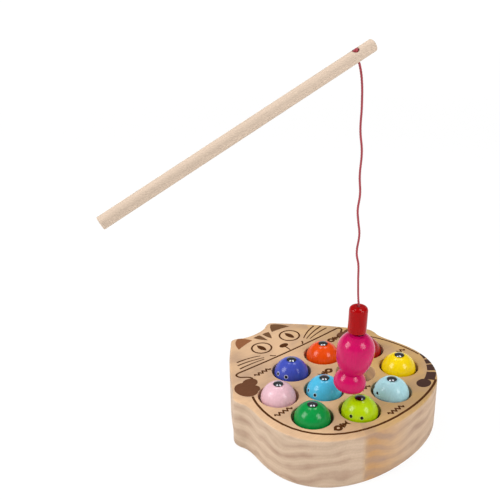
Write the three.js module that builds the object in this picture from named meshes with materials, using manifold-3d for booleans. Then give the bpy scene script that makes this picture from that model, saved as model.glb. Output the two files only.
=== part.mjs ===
// Magnetic fishing game: a cat-shaped pine block with ten pockets, ten turned fish with steel noses,
// and a rod with a magnet lure on a cord. Millimetres, +Z up, +Y towards the cat's head.
// The origin is on the underside, below the centre of the pocket field.

import * as THREE from 'three';
import { mergeVertices } from 'three/addons/utils/BufferGeometryUtils.js';
import Module from 'manifold-3d';

const wasm = await Module();
wasm.setup();

// Fits
const SEAT_GAP = 0.3;
const BORE_CLEARANCE = 0.3;

// Block and pockets
const BLOCK_THICKNESS = 40;
const EDGE_ROUND = 1.5;
const POCKET_DIAMETER = 30;
const POCKET_WEB = 5;
const POCKET_DEPTH = 35;
const POCKET_CHAMFER = 0.8;

// Cat outline: walls measured outwards from the pocket field, half widths from the centre line
const SIDE_WALL = 14.4;
const FRONT_WALL = 13.4;
const NECK_INSET = 3.4;
const NECK_BEHIND_CENTRE = 23;
const CHEEK_INSET = 1.4;
const CHEEK_LENGTH = 22;
const HEAD_LENGTH = 52.7;
const EAR_HALF_SPACING = 20;
const EAR_ROUND = 7;
const FOREHEAD_DIP = 5.6;

// Handles of the outline's curves, as shares of the stretch that each one shapes
const FRONT_FULLNESS = 0.6;
const FLANK_FULLNESS = 0.66;
const FLANK_END = 0.1;
const FLANK_HANDLE = 0.3;
const NECK_HANDLE = 0.4;
const CHEEK_START_HANDLE = 0.3;
const CHEEK_END_HANDLE = 0.25;
const CHEEK_TURN = 0.2;
const EAR_OUTER_SHARE = [0.9, 0.7];
const EAR_INNER_SHARE = [1, 0.45];
const EAR_TIP_HANDLE = 0.4;
const FOREHEAD_HANDLE = 0.6;
const TEMPLE_BULGE = 2.4;

// Fish
const FISH_LENGTH = 44.5;
const FISH_POCKET_CLEARANCE = 3.6;
const FISH_BODY_HEIGHT = 32.4;
const FISH_WAIST_DIAMETER = 15;
const FISH_WAIST_HEIGHT = 14;
const FISH_TAIL_DIAMETER = 22.8;
const FISH_TAIL_HEIGHT = 5.2;
const FISH_TAIL_FLAT_DIAMETER = 10;
const FISH_NOSE_FLAT_DIAMETER = 9;

// Handles of the fish's curves, as shares of the height or width that each one shapes
const TAIL_FOOT_HANDLE = 0.65;
const TAIL_SIDE_HANDLE = 0.6;
const TAIL_TOP_HANDLE = 0.45;
const CREASE_OUT = 0.6;
const CREASE_DOWN = 0.29;
const CREASE_UP = 0.2;
const BODY_LOWER_HANDLE = 0.48;
const CROWN_HANDLE = 0.5;
const CROWN_SHOULDER = 0.45;
const CROWN_DROP = 0.08;

// Steel nose: a domed nail
const NOSE_HEAD_DIAMETER = 7.4;
const NOSE_HEAD_HEIGHT = 1.1;
const NOSE_SHANK_DIAMETER = 2.4;
const NOSE_SHANK_LENGTH = 12;
const NOSE_RIM_SHARE = 0.3;
const NOSE_DOME_SHARE = 0.8;

// Lure: it hangs off the centre of the lime pocket, in a swing plane turned from +X about +Z
const LURE_OFFSET_X = -2;
const LURE_OFFSET_Y = 3.7;
const LURE_LEAN = THREE.MathUtils.degToRad(2);
const CAUGHT_FISH_CLEARANCE = 6.2;
const SWING_PLANE_TURN = THREE.MathUtils.degToRad(-40.7);
const CAPSULE_DIAMETER = 13;
const CAPSULE_LENGTH = 18.9;
const CAPSULE_TOP_ROUND = 3.2;
const CAPSULE_RIM_ROUND = 0.5;
const MAGNET_DIAMETER = 9;
const MAGNET_THICKNESS = 5;
const MAGNET_STANDS_OUT = 0.4;
const CAUGHT_FISH_OFFSET = 1.6;
const CAUGHT_FISH_LEAN = THREE.MathUtils.degToRad(5.6);

// Cord and its knots
const CORD_DIAMETER = 1.6;
const CORD_SIDES = 8;
const CORD_STEP = 3 * CORD_DIAMETER;
const KNOT_DIAMETER = 4.2;
const KNOT_HEIGHT = 2.6;
const KNOT_FOOT_SHARE = 0.7;
const CORD_LEAD = 0.7;

// The free cord from the lure up: [sideways, height over the capsule], as it hangs
const CORD_ROUTE = [
  [0.2, 4], [-0.5, 19], [-0.8, 31], [-2.1, 39], [-0.9, 53], [-1.8, 61], [-2.5, 69],
  [-1.4, 80], [-2.0, 92], [-1.1, 108], [-2.5, 121], [-1.2, 137], [-2.0, 153],
];
const CORD_TOP = [-4.9, 162.1];

// Rod: tip up, its hole near the tip; the turn is measured from the swing plane, the roll about the rod itself
const ROD_DIAMETER = 8;
const ROD_LENGTH = 190;
const ROD_HOLE_FROM_TIP = 12.3;
const ROD_END_CHAMFER = 1;
const ROD_KNOT_SEAT_DEPTH = 2.5;
const ROD_SLOPE = THREE.MathUtils.degToRad(25);
const ROD_TURN = THREE.MathUtils.degToRad(24.7);
const ROD_ROLL = THREE.MathUtils.degToRad(10);

// Facets
const FISH_SEGMENTS = 20;
const FISH_CURVE_STEPS = 4;
const NOSE_SEGMENTS = 14;
const POCKET_SEGMENTS = 28;
const OUTLINE_CURVE_STEPS = 6;
const EDGE_STEPS = 2;
const SMALL_SEGMENTS = 12;
const ROUND_SEGMENTS = 24;
const ROUND_STEPS = 3;

// Materials
const lacquer = (colour) => new THREE.MeshStandardMaterial({ color: colour, roughness: 0.25, metalness: 0 });
const bareWood = (colour) => new THREE.MeshStandardMaterial({ color: colour, roughness: 0.7, metalness: 0 });
const pine = bareWood('#d9b48c');
const paleWood = bareWood('#e8cdb0');
const steel = new THREE.MeshStandardMaterial({ color: '#b8b8ba', roughness: 0.15, metalness: 1 });
const nickel = new THREE.MeshStandardMaterial({ color: '#c4c2bc', roughness: 0.2, metalness: 1 });
const redGloss = lacquer('#c00010');
const redCord = new THREE.MeshStandardMaterial({ color: '#c8101c', roughness: 0.9, metalness: 0 });

// Solids from three.js geometry

function closedGeometry(geometry) {
  geometry.deleteAttribute('normal');
  geometry.deleteAttribute('uv');
  return mergeVertices(geometry, 1e-4);
}

function toSolid(geometry) {
  const merged = closedGeometry(geometry);
  return new wasm.Manifold(new wasm.Mesh({
    numProp: 3,
    vertProperties: new Float32Array(merged.attributes.position.array),
    triVerts: new Uint32Array(merged.index.array),
  }));
}

function toGeometry(solid) {
  const mesh = solid.getMesh();
  const geometry = new THREE.BufferGeometry();
  geometry.setAttribute('position', new THREE.BufferAttribute(mesh.vertProperties, 3));
  geometry.setIndex(new THREE.BufferAttribute(mesh.triVerts, 1));
  geometry.computeVertexNormals();
  return geometry;
}

// A turned piece: points are [radius, height], from the lower end up, about the Z axis
function turned(points, segments) {
  const profile = points.map(([radius, height]) => new THREE.Vector2(radius, height));
  return closedGeometry(new THREE.LatheGeometry(profile, segments).rotateX(Math.PI / 2));
}

// A quarter round on a turned profile, from one [radius, height] to the next, bulging towards the corner
function rounded(from, corner, to) {
  const curve = new THREE.QuadraticBezierCurve(
    new THREE.Vector2(...from), new THREE.Vector2(...corner), new THREE.Vector2(...to));
  return curve.getPoints(ROUND_STEPS).map((point) => [point.x, point.y]);
}

function piece(name, geometry, material) {
  const mesh = new THREE.Mesh(geometry, material);
  mesh.name = name;
  return mesh;
}

// Pocket field: columns of two, three, three and two pockets on a hexagonal pitch

const pitch = POCKET_DIAMETER + POCKET_WEB;
const innerColumn = pitch / 2;
const outerColumn = innerColumn + pitch * Math.sin(Math.PI / 3);
const pocketRadius = POCKET_DIAMETER / 2;
const pocketFloor = BLOCK_THICKNESS - POCKET_DEPTH;

const POCKETS = {
  orange: [innerColumn, pitch],
  indigo: [-innerColumn, pitch],
  light_pink: [-outerColumn, pitch / 2],
  red: [outerColumn, pitch / 2],
  sky_blue: [-innerColumn, 0],
  magenta: [innerColumn, 0],
  green: [-outerColumn, -pitch / 2],
  yellow: [outerColumn, -pitch / 2],
  lime: [-innerColumn, -pitch],
  grey_blue: [innerColumn, -pitch],
};

const FISH_COLOURS = {
  orange: '#e84a00',
  indigo: '#4048b0',
  light_pink: '#e8bcc8',
  red: '#b00008',
  sky_blue: '#40b0d8',
  magenta: '#d81b6a',
  green: '#0a9a48',
  yellow: '#f0d000',
  lime: '#a8cc00',
  grey_blue: '#98c0cc',
};

// Cat block

function catOutline() {
  const halfWidth = outerColumn + pocketRadius + SIDE_WALL;
  const front = -(pitch + pocketRadius + FRONT_WALL);
  const neck = halfWidth - NECK_INSET;
  const cheek = halfWidth - CHEEK_INSET;
  const cheekY = NECK_BEHIND_CENTRE + CHEEK_LENGTH / 2;
  const earTip = pitch + pocketRadius + HEAD_LENGTH;
  const forehead = earTip - FOREHEAD_DIP;
  const temple = [cheek - EAR_ROUND, NECK_BEHIND_CENTRE + CHEEK_LENGTH];
  const earOuter = [EAR_HALF_SPACING + EAR_ROUND * EAR_OUTER_SHARE[0], earTip - EAR_ROUND * EAR_OUTER_SHARE[1]];
  const earInner = [EAR_HALF_SPACING - EAR_ROUND * EAR_INNER_SHARE[0], earTip - EAR_ROUND * EAR_INNER_SHARE[1]];
  const earTipHandle = EAR_ROUND * EAR_TIP_HANDLE;
  const brow = [(temple[0] + earOuter[0]) / 2 + TEMPLE_BULGE, (temple[1] + earOuter[1]) / 2 + TEMPLE_BULGE];

  const half = new THREE.Path();
  half.moveTo(0, front);
  half.bezierCurveTo(halfWidth * FRONT_FULLNESS, front,
    halfWidth, front * FLANK_FULLNESS, halfWidth, front * FLANK_END);
  half.bezierCurveTo(halfWidth, NECK_BEHIND_CENTRE * FLANK_HANDLE,
    neck, NECK_BEHIND_CENTRE * (1 - NECK_HANDLE), neck, NECK_BEHIND_CENTRE);
  half.bezierCurveTo(neck, cheekY - CHEEK_LENGTH * CHEEK_START_HANDLE,
    cheek, cheekY - CHEEK_LENGTH * CHEEK_END_HANDLE, cheek, cheekY);
  half.quadraticCurveTo(cheek, cheekY + CHEEK_LENGTH * CHEEK_TURN, ...temple);
  half.quadraticCurveTo(...brow, ...earOuter);
  half.quadraticCurveTo(EAR_HALF_SPACING + earTipHandle, earTip, EAR_HALF_SPACING, earTip);
  half.quadraticCurveTo(EAR_HALF_SPACING - earTipHandle, earTip, ...earInner);
  half.quadraticCurveTo(earInner[0] * FOREHEAD_HANDLE, forehead, 0, forehead);

  const right = half.getPoints(OUTLINE_CURVE_STEPS);
  const left = right.slice(1, -1).reverse().map((point) => new THREE.Vector2(-point.x, point.y));
  return new THREE.Shape([...right, ...left]);
}

function catBlock() {
  const board = new THREE.ExtrudeGeometry(catOutline(), {
    depth: BLOCK_THICKNESS - 2 * EDGE_ROUND,
    bevelThickness: EDGE_ROUND,
    bevelSize: EDGE_ROUND,
    bevelOffset: -EDGE_ROUND,
    bevelSegments: EDGE_STEPS,
  }).translate(0, 0, EDGE_ROUND);
  let solid = toSolid(board);
  for (const [x, y] of Object.values(POCKETS)) {
    const cutter = turned([
      [0, pocketFloor],
      [pocketRadius, pocketFloor],
      [pocketRadius, BLOCK_THICKNESS - POCKET_CHAMFER],
      [pocketRadius + 2 * POCKET_CHAMFER, BLOCK_THICKNESS + POCKET_CHAMFER],
      [0, BLOCK_THICKNESS + POCKET_CHAMFER],
    ], POCKET_SEGMENTS);
    solid = solid.subtract(toSolid(cutter.translate(x, y, 0)));
  }
  return toGeometry(solid);
}

// Fish: a turned body with a hole down its nose for the steel nail

function fishBody() {
  const tail = FISH_TAIL_DIAMETER / 2;
  const tailFlat = FISH_TAIL_FLAT_DIAMETER / 2;
  const waist = FISH_WAIST_DIAMETER / 2;
  const body = (POCKET_DIAMETER - FISH_POCKET_CLEARANCE) / 2;
  const nose = FISH_NOSE_FLAT_DIAMETER / 2;
  const bore = NOSE_SHANK_DIAMETER / 2 + BORE_CLEARANCE;
  const boreFloor = FISH_LENGTH - NOSE_SHANK_LENGTH - BORE_CLEARANCE;
  const tailTop = FISH_WAIST_HEIGHT - FISH_TAIL_HEIGHT;
  const bodyRise = FISH_BODY_HEIGHT - FISH_WAIST_HEIGHT;
  const crown = FISH_LENGTH - FISH_BODY_HEIGHT;

  const side = new THREE.Path();
  side.moveTo(tailFlat, 0);
  side.bezierCurveTo(tailFlat + (tail - tailFlat) * TAIL_FOOT_HANDLE, 0,
    tail, FISH_TAIL_HEIGHT * (1 - TAIL_SIDE_HANDLE), tail, FISH_TAIL_HEIGHT);
  side.bezierCurveTo(tail, FISH_TAIL_HEIGHT + tailTop * TAIL_TOP_HANDLE,
    waist + (tail - waist) * CREASE_OUT, FISH_WAIST_HEIGHT - tailTop * CREASE_DOWN, waist, FISH_WAIST_HEIGHT);
  side.bezierCurveTo(waist + (body - waist) * CREASE_OUT, FISH_WAIST_HEIGHT + bodyRise * CREASE_UP,
    body, FISH_BODY_HEIGHT - bodyRise * BODY_LOWER_HANDLE, body, FISH_BODY_HEIGHT);
  side.bezierCurveTo(body, FISH_BODY_HEIGHT + crown * CROWN_HANDLE,
    nose + (body - nose) * CROWN_SHOULDER, FISH_LENGTH - crown * CROWN_DROP, nose, FISH_LENGTH);
  const skin = side.getPoints(FISH_CURVE_STEPS).map((point) => [point.x, point.y]);
  return turned([[0, 0], ...skin, [bore, FISH_LENGTH], [bore, boreFloor], [0, boreFloor]], FISH_SEGMENTS);
}

function fishNose() {
  const head = NOSE_HEAD_DIAMETER / 2;
  const shank = NOSE_SHANK_DIAMETER / 2;
  const dome = rounded([head, NOSE_HEAD_HEIGHT * NOSE_RIM_SHARE],
    [head * NOSE_DOME_SHARE, NOSE_HEAD_HEIGHT], [0, NOSE_HEAD_HEIGHT]);
  return turned([[0, -NOSE_SHANK_LENGTH], [shank, -NOSE_SHANK_LENGTH], [shank, 0], [head, 0], ...dome],
    NOSE_SEGMENTS);
}

const noseSeat = FISH_LENGTH + SEAT_GAP;
const fishTop = noseSeat + NOSE_HEAD_HEIGHT;
const fishSeat = pocketFloor + SEAT_GAP;
const fishBodyGeometry = fishBody();
const fishNoseGeometry = fishNose();

// One fish standing on its tail at the group's origin
function fish(colour) {
  const group = new THREE.Group();
  const body = piece(`fish_${colour}_body`, fishBodyGeometry, lacquer(FISH_COLOURS[colour]));
  const nose = piece(`fish_${colour}_nose`, fishNoseGeometry, steel);
  nose.position.z = noseSeat;
  group.add(body, nose);
  return group;
}

// Lure: capsule, magnet in its lower end, and the cord's knot shut in above the magnet

const cordRadius = CORD_DIAMETER / 2;
const cordBore = cordRadius + BORE_CLEARANCE;
const knotBore = KNOT_DIAMETER / 2 + BORE_CLEARANCE;
const capsuleFoot = MAGNET_STANDS_OUT;
const capsuleTop = capsuleFoot + CAPSULE_LENGTH;
const magnetTop = MAGNET_THICKNESS;
const knotFoot = magnetTop + SEAT_GAP;
const knotTop = knotFoot + KNOT_HEIGHT;

function capsule() {
  const outer = CAPSULE_DIAMETER / 2;
  const socket = MAGNET_DIAMETER / 2 + BORE_CLEARANCE;
  const shoulder = magnetTop + SEAT_GAP / 2;
  const ceiling = knotTop + SEAT_GAP;
  return turned([
    [socket, capsuleFoot],
    [outer - CAPSULE_RIM_ROUND, capsuleFoot],
    [outer, capsuleFoot + CAPSULE_RIM_ROUND],
    ...rounded([outer, capsuleTop - CAPSULE_TOP_ROUND], [outer, capsuleTop],
      [outer - CAPSULE_TOP_ROUND, capsuleTop]),
    [cordBore, capsuleTop],
    [cordBore, ceiling],
    [knotBore, ceiling],
    [knotBore, shoulder],
    [socket, shoulder],
    [socket, capsuleFoot],
  ], ROUND_SEGMENTS);
}

function magnet() {
  const radius = MAGNET_DIAMETER / 2;
  const edge = SEAT_GAP;
  return turned([
    [0, 0], [radius - edge, 0], [radius, edge],
    [radius, magnetTop - edge], [radius - edge, magnetTop], [0, magnetTop],
  ], ROUND_SEGMENTS);
}

// A knot as a flattened ball, its foot at the given height
function knotProfile(foot) {
  const radius = KNOT_DIAMETER / 2;
  const middle = foot + KNOT_HEIGHT / 2;
  return [
    [radius * KNOT_FOOT_SHARE, foot],
    [radius, middle],
    ...rounded([radius, middle], [radius, foot + KNOT_HEIGHT], [0, foot + KNOT_HEIGHT]).slice(1),
  ];
}

function lureKnot() {
  return turned([[0, knotFoot], ...knotProfile(knotFoot)], SMALL_SEGMENTS);
}

// Rod, lying along X with its cord hole at the origin and its tip at +X; the knot sits sunk in the hole's mouth

const rodRadius = ROD_DIAMETER / 2;
const rodKnotSeat = rodRadius - ROD_KNOT_SEAT_DEPTH;
const rodKnotFoot = rodKnotSeat + SEAT_GAP;
const cordLeadEnd = rodRadius + CORD_LEAD;

function rod() {
  const tip = ROD_HOLE_FROM_TIP;
  const butt = tip - ROD_LENGTH;
  const face = rodRadius - ROD_END_CHAMFER;
  const bar = turned([
    [0, butt], [face, butt], [rodRadius, butt + ROD_END_CHAMFER],
    [rodRadius, tip - ROD_END_CHAMFER], [face, tip], [0, tip],
  ], ROUND_SEGMENTS).rotateY(Math.PI / 2);
  const hole = turned([
    [0, -ROD_DIAMETER], [cordBore, -ROD_DIAMETER], [cordBore, rodKnotSeat],
    [knotBore, rodKnotSeat], [knotBore, ROD_DIAMETER], [0, ROD_DIAMETER],
  ], SMALL_SEGMENTS);
  return toGeometry(toSolid(bar).subtract(toSolid(hole)));
}

// The knot in the rod's upper side, with the stretch of cord that fills the hole
function rodKnot() {
  return turned([
    [0, -cordLeadEnd], [cordRadius, -cordLeadEnd], [cordRadius, rodKnotFoot], ...knotProfile(rodKnotFoot),
  ], SMALL_SEGMENTS);
}

// Turns of the rod and the lure, and the direction down the rod's hole, in the swing plane's frame
const rodRotation = new THREE.Euler(ROD_ROLL, -ROD_SLOPE, ROD_TURN, 'ZYX');
const holeDown = new THREE.Vector3(0, 0, -1).applyEuler(rodRotation);
const lureRotation = new THREE.Euler(0, LURE_LEAN, 0);
const cordStart = new THREE.Vector3(CORD_TOP[0], 0, capsuleTop + CORD_TOP[1]);

function cord() {
  const knotEnd = new THREE.Vector3(0, 0, knotTop + SEAT_GAP).applyEuler(lureRotation);
  const capsuleMouth = new THREE.Vector3(0, 0, capsuleTop).applyEuler(lureRotation);
  const free = CORD_ROUTE.map(([side, height]) => new THREE.Vector3(side, 0, capsuleTop + height));
  const underRod = cordStart.clone().addScaledVector(holeDown, CORD_STEP / 2);
  const route = new THREE.CatmullRomCurve3([knotEnd, capsuleMouth, ...free, underRod, cordStart]);
  const corners = Array.from({ length: CORD_SIDES }, (_, index) => {
    const angle = (2 * Math.PI * index) / CORD_SIDES;
    return new THREE.Vector2(cordRadius * Math.cos(angle), cordRadius * Math.sin(angle));
  });
  return closedGeometry(new THREE.ExtrudeGeometry(new THREE.Shape(corners), {
    extrudePath: route,
    steps: Math.round(route.getLength() / CORD_STEP),
    bevelEnabled: false,
  }));
}

// Assembly

const game = new THREE.Group();
game.add(piece('cat_block', catBlock(), pine));

for (const [colour, [x, y]] of Object.entries(POCKETS)) {
  if (colour === 'magenta') continue;
  const seated = fish(colour);
  seated.position.set(x, y, fishSeat);
  game.add(seated);
}

// The tackle hangs in the swing plane; the group's origin is the magnet's face, which holds the caught fish
// clear of the nose below
const caughtReach = SEAT_GAP + fishTop * Math.cos(LURE_LEAN + CAUGHT_FISH_LEAN);
const lureHeight = fishSeat + fishTop + CAUGHT_FISH_CLEARANCE + caughtReach;
const tackle = new THREE.Group();
tackle.position.set(POCKETS.lime[0] + LURE_OFFSET_X, POCKETS.lime[1] + LURE_OFFSET_Y, lureHeight);
tackle.rotation.z = SWING_PLANE_TURN;
tackle.add(piece('cord', cord(), redCord));

const lure = new THREE.Group();
lure.rotation.copy(lureRotation);
lure.add(
  piece('lure_capsule', capsule(), redGloss),
  piece('lure_magnet', magnet(), nickel),
  piece('lure_knot', lureKnot(), redCord),
);
tackle.add(lure);

const caught = new THREE.Group();
caught.position.set(CAUGHT_FISH_OFFSET, 0, -SEAT_GAP);
caught.rotation.y = CAUGHT_FISH_LEAN;
const caughtFish = fish('magenta');
caughtFish.position.z = -fishTop;
caught.add(caughtFish);
lure.add(caught);

const rodGroup = new THREE.Group();
rodGroup.position.copy(cordStart).addScaledVector(holeDown, -(cordLeadEnd + SEAT_GAP));
rodGroup.rotation.copy(rodRotation);
rodGroup.add(piece('rod', rod(), paleWood), piece('rod_knot', rodKnot(), redCord));
tackle.add(rodGroup);

game.add(tackle);

export default game;
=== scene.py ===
"""Looks of a magnetic fishing game: a cat-shaped pine block, ten turned fish and a rod with a magnet lure."""

import math

import bmesh
import bpy
from bpy.props import FloatProperty, FloatVectorProperty, PointerProperty
from mathutils import Matrix, Vector
from mathutils.geometry import interpolate_bezier


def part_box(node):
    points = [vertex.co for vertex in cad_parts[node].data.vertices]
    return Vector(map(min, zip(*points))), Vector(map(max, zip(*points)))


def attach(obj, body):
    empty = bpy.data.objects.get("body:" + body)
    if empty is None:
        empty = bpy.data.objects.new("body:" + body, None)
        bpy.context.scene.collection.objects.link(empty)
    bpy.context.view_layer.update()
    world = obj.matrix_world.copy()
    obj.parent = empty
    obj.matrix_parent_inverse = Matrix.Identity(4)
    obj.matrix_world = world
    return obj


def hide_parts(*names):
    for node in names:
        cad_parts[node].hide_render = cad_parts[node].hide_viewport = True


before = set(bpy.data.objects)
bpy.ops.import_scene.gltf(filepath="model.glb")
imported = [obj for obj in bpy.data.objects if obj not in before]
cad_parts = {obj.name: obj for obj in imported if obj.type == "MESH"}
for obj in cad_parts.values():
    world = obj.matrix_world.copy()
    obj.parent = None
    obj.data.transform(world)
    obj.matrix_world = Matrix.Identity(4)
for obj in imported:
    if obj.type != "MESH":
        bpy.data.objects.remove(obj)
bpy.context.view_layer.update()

bl_info = {
    "name": "Magnetic fishing game",
    "version": (1, 0, 0),
    "blender": (4, 5, 0),
    "location": "View3D > Sidebar > Fishing game",
    "description": "Builds the block, the fish, the rod with its lure, and the stage they are shown on",
    "category": "Object",
}

MM = 0.001

# Colours of the fish, the way each one's eyes face in degrees, and how much white is in the rings round them
FISH_COLOURS = {
    "orange": ("#DC4600", 70, 0.1),
    "indigo": ("#404FB4", -171, 0.42),
    "light_pink": ("#DDB4BE", 35, 0.3),
    "red": ("#A00409", 55, 0.1),
    "sky_blue": ("#4FBDE4", 173, 0.3),
    "magenta": ("#C20358", 50, 0.1),
    "green": ("#008A3C", 60, 0.1),
    "yellow": ("#E7C700", 25, 0.1),
    "lime": ("#ACCB00", -150, 0.06),
    "grey_blue": ("#A8D4DC", 147, 0.06),
}
CAUGHT = "magenta"

# Rounds are smooth at this many sides
FINE_STEPS = 72
SMALL_STEPS = 40
CURVE_STEPS = 14
SHARP_ANGLE = math.radians(38)

# Vertices nearer than this are one, and a face whose normal is this upright is level
DOUBLED = 1e-6
LEVEL_NORMAL = 0.9999


def about(axis, degrees):
    """A turn about one axis."""
    return Matrix.Rotation(math.radians(degrees), 4, axis)


# How the line hangs: the tackle's own axes, at the magnet's face with X along the swing, and in them the
# lure, the rod and the way down the rod's hole
TACKLE_PLACE = Matrix.Translation(Vector((-19.5, -31.3, 103.197)) * MM) @ about("Z", -40.7)
LURE_LEAN = about("Y", 2)
LURE_PLACE = TACKLE_PLACE @ LURE_LEAN
ROD_AXES = about("Z", 24.7) @ about("Y", -25) @ about("X", 10)
HOLE_DOWN = ROD_AXES @ Vector((0.0, 0.0, -1.0))
ROD_HOLE_FROM_TIP = 12.3 * MM
ROD_CHAMFER = 1 * MM
KNOT_SEAT_DEPTH = 2.5 * MM
CATCH_OFFSET = 1.6 * MM
CATCH_LEAN = about("Y", 5.6)
FIT = 0.3 * MM

# The cord's way from the knot in the capsule, along the lure's axis to its mouth, and up to the hole in the
# rod: sideways, and height over the magnet's face
LURE_HEIGHTS = (8.2, 14.0, 19.3)
CORD_ROUTE = [
    (0.2, 23.3), (-0.5, 38.3), (-0.8, 50.3), (-2.1, 58.3), (-0.9, 72.3), (-1.8, 80.3), (-2.5, 88.3),
    (-1.4, 99.3), (-2.0, 111.3), (-1.3, 127.3), (-2.6, 140.3), (-2.3, 156.3), (-3.0, 172.3),
]
CORD_TOP = Vector((-4.9, 0.0, 181.4)) * MM
CORD_LEAD = 0.7 * MM
KNOT_RADIUS = 2.1 * MM
KNOT_HEIGHT = 2.6 * MM

# Shares that shape the turned side of a fish, from its tail up
TAIL_FOOT_HANDLE = 0.65
TAIL_SIDE_HANDLE = 0.6
TAIL_TOP_HANDLE = 0.45
CREASE_OUT = 0.6
CREASE_DOWN = 0.29
CREASE_UP = 0.2
BODY_LOWER_HANDLE = 0.48
CROWN_HANDLE = 0.5
CROWN_SHOULDER = 0.45
CROWN_DROP = 0.08

# Half the block's width and its front, in millimetres
HALF_WIDTH = 77.21
FRONT = -63.4

# Lamps: how far off they stand, and what they point at
LAMP_DISTANCE = 1.2
LIT_PLACE = Vector((0.0, 0.0, 0.06))

# The way that the block's fibres run
FIBRE_TURN = (0.0, 0.0, math.radians(-30))

# The print stands this far over the wood and reaches this far into it, with each shape a hair over the last
INK_HEIGHT = 0.05 * MM
INK_SINK = 0.1 * MM
INK_LAYER = 0.0004 * MM

# A printed eye: rings and sides of its film, and how deep the rim goes
FILM_RINGS = 6
FILM_SIDES = 28
FILM_SINK = 0.12 * MM


def linear(code):
    """Linear colour of an sRGB hex value."""
    channels = [int(code[i:i + 2], 16) / 255 for i in (1, 3, 5)]
    return tuple(c / 12.92 if c <= 0.04045 else ((c + 0.055) / 1.055) ** 2.4 for c in channels)


def size_of(node):
    """Width, depth and height of a CAD node's box."""
    low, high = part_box(node)
    return high - low


def metres(words, value):
    """A length that the sidebar shows."""
    return FloatProperty(description=words, default=value, min=0.0, unit="LENGTH", precision=5)


def paint(words, code):
    """A colour that the sidebar shows."""
    return FloatVectorProperty(description=words, default=linear(code), min=0.0, max=1.0, subtype="COLOR")


def angle(words, degrees):
    """An angle that the sidebar shows."""
    return FloatProperty(description=words, default=math.radians(degrees), subtype="ANGLE")


def watts(words, value):
    """The power of a lamp, which the sidebar shows."""
    return FloatProperty(description=words, default=value, min=0.0)


class BlockSettings(bpy.types.PropertyGroup):
    """Sizes and colours of the block and its print."""

    thickness: metres("Height of the block", size_of("cat_block").z)
    edge_round: metres("Sanded round along the block's edges", 1.5 * MM)
    pocket_diameter: metres("Diameter of a pocket", 30 * MM)
    pocket_depth: metres("Depth of a pocket under the top", 35 * MM)
    pocket_lip: metres("Round on a pocket's rim", 0.8 * MM)
    early_wood: paint("Pale wood between the growth rings, on the sides", "#CAB198")
    # The top runs from this paler wood at the left to the yellower second board at the right; the paleness at
    # the left is partly painted light from the left lamp
    planed_wood: paint("Wood of the planed top", "#D9B38C")
    planed_second: paint("Yellower top of the second board", "#C29C62")
    late_wood: paint("Darker lines of the growth rings", "#A98A74")
    second_board: paint("Yellower wood of the second board", "#C49560")
    ink: paint("Dark brown of the printed lines", "#4C2808")
    tail_ink: paint("Greyer brown of the tail", "#432D26")
    paw_ink: paint("Brown of the paws", "#643E28")
    ear_ink: paint("Lighter brown inside the left ear", "#8A5837")
    brow_ink: paint("Brown of the right ear and the stripes on the brow", "#6A4A30")


class FishSettings(bpy.types.PropertyGroup):
    """Sizes of one turned fish and its steel nose."""

    length: metres("Height of the turned wood from tail to nose", size_of("fish_lime_body").z)
    body_diameter: metres("Diameter of the body", size_of("fish_lime_body").x)
    body_height: metres("Height of the widest place over the tail", 32.4 * MM)
    waist_diameter: metres("Diameter of the crease", 15 * MM)
    waist_height: metres("Height of the crease over the tail", 14 * MM)
    tail_diameter: metres("Diameter of the tail's ball", 22.8 * MM)
    tail_height: metres("Height of the tail's widest place", 5.2 * MM)
    tail_flat: metres("Diameter of the flat that a fish stands on", 10 * MM)
    nose_flat: metres("Diameter of the flat under the steel nose", 9 * MM)
    steel_diameter: metres("Diameter of the nail's head", size_of("fish_lime_nose").y)
    steel_height: metres("Height of the nail's head", 1.1 * MM)
    shank_diameter: metres("Diameter of the nail's shank", 2.4 * MM)
    shank_length: metres("Length of the nail's shank", 12 * MM)
    eye_diameter: metres("Diameter of the pale ring round an eye", 3.4 * MM)
    pupil_diameter: metres("Diameter of the black dot", 2.3 * MM)
    eye_height: metres("Height of the eyes over the tail", 36.4 * MM)
    eye_turn: angle("Turn of an eye from the middle of the face", 18)


class TackleSettings(bpy.types.PropertyGroup):
    """Sizes and colours of the rod, the cord and the lure."""

    rod_diameter: metres("Diameter of the rod", 8 * MM)
    rod_length: metres("Length of the rod", 190 * MM)
    cord_diameter: metres("Diameter of the cord", 1.6 * MM)
    capsule_diameter: metres("Diameter of the lure's capsule", 13 * MM)
    capsule_length: metres("Length of the lure's capsule", 18.9 * MM)
    capsule_crown: metres("Round on the capsule's top", 3.2 * MM)
    magnet_diameter: metres("Diameter of the magnet", 9 * MM)
    magnet_thickness: metres("Thickness of the magnet", 5 * MM)
    magnet_stands_out: metres("How far the magnet stands under the capsule", 0.4 * MM)
    rod_colour: paint("Bare pale wood of the rod", "#CDB8A4")
    cord_colour: paint("Dull red of the cord", "#A0343F")
    capsule_colour: paint("Deep red of the capsule", "#A00003")


class StageSettings(bpy.types.PropertyGroup):
    """Camera, lamps and floor."""

    camera_place: FloatVectorProperty(
        description="Where the camera stands", default=(-0.3749, -0.33442, 0.3695), subtype="TRANSLATION",
        unit="LENGTH")
    azimuth: angle("Turn of the camera round the object", -40.72)
    elevation: angle("How steeply the camera looks down", 23.81)
    roll: angle("Lean of the camera", -1.37)
    lens: FloatProperty(description="Focal length on a 36 mm sensor", default=55.9, unit="CAMERA")
    left_lamp: watts("Power of the left lamp", 8.6)
    right_lamp: watts("Power of the right lamp", 6.6)
    top_lamps: watts("Power of each lamp overhead", 2.1)
    floor_colour: paint("Pale floor", "#F6F6F5")


# Nodes


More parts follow.
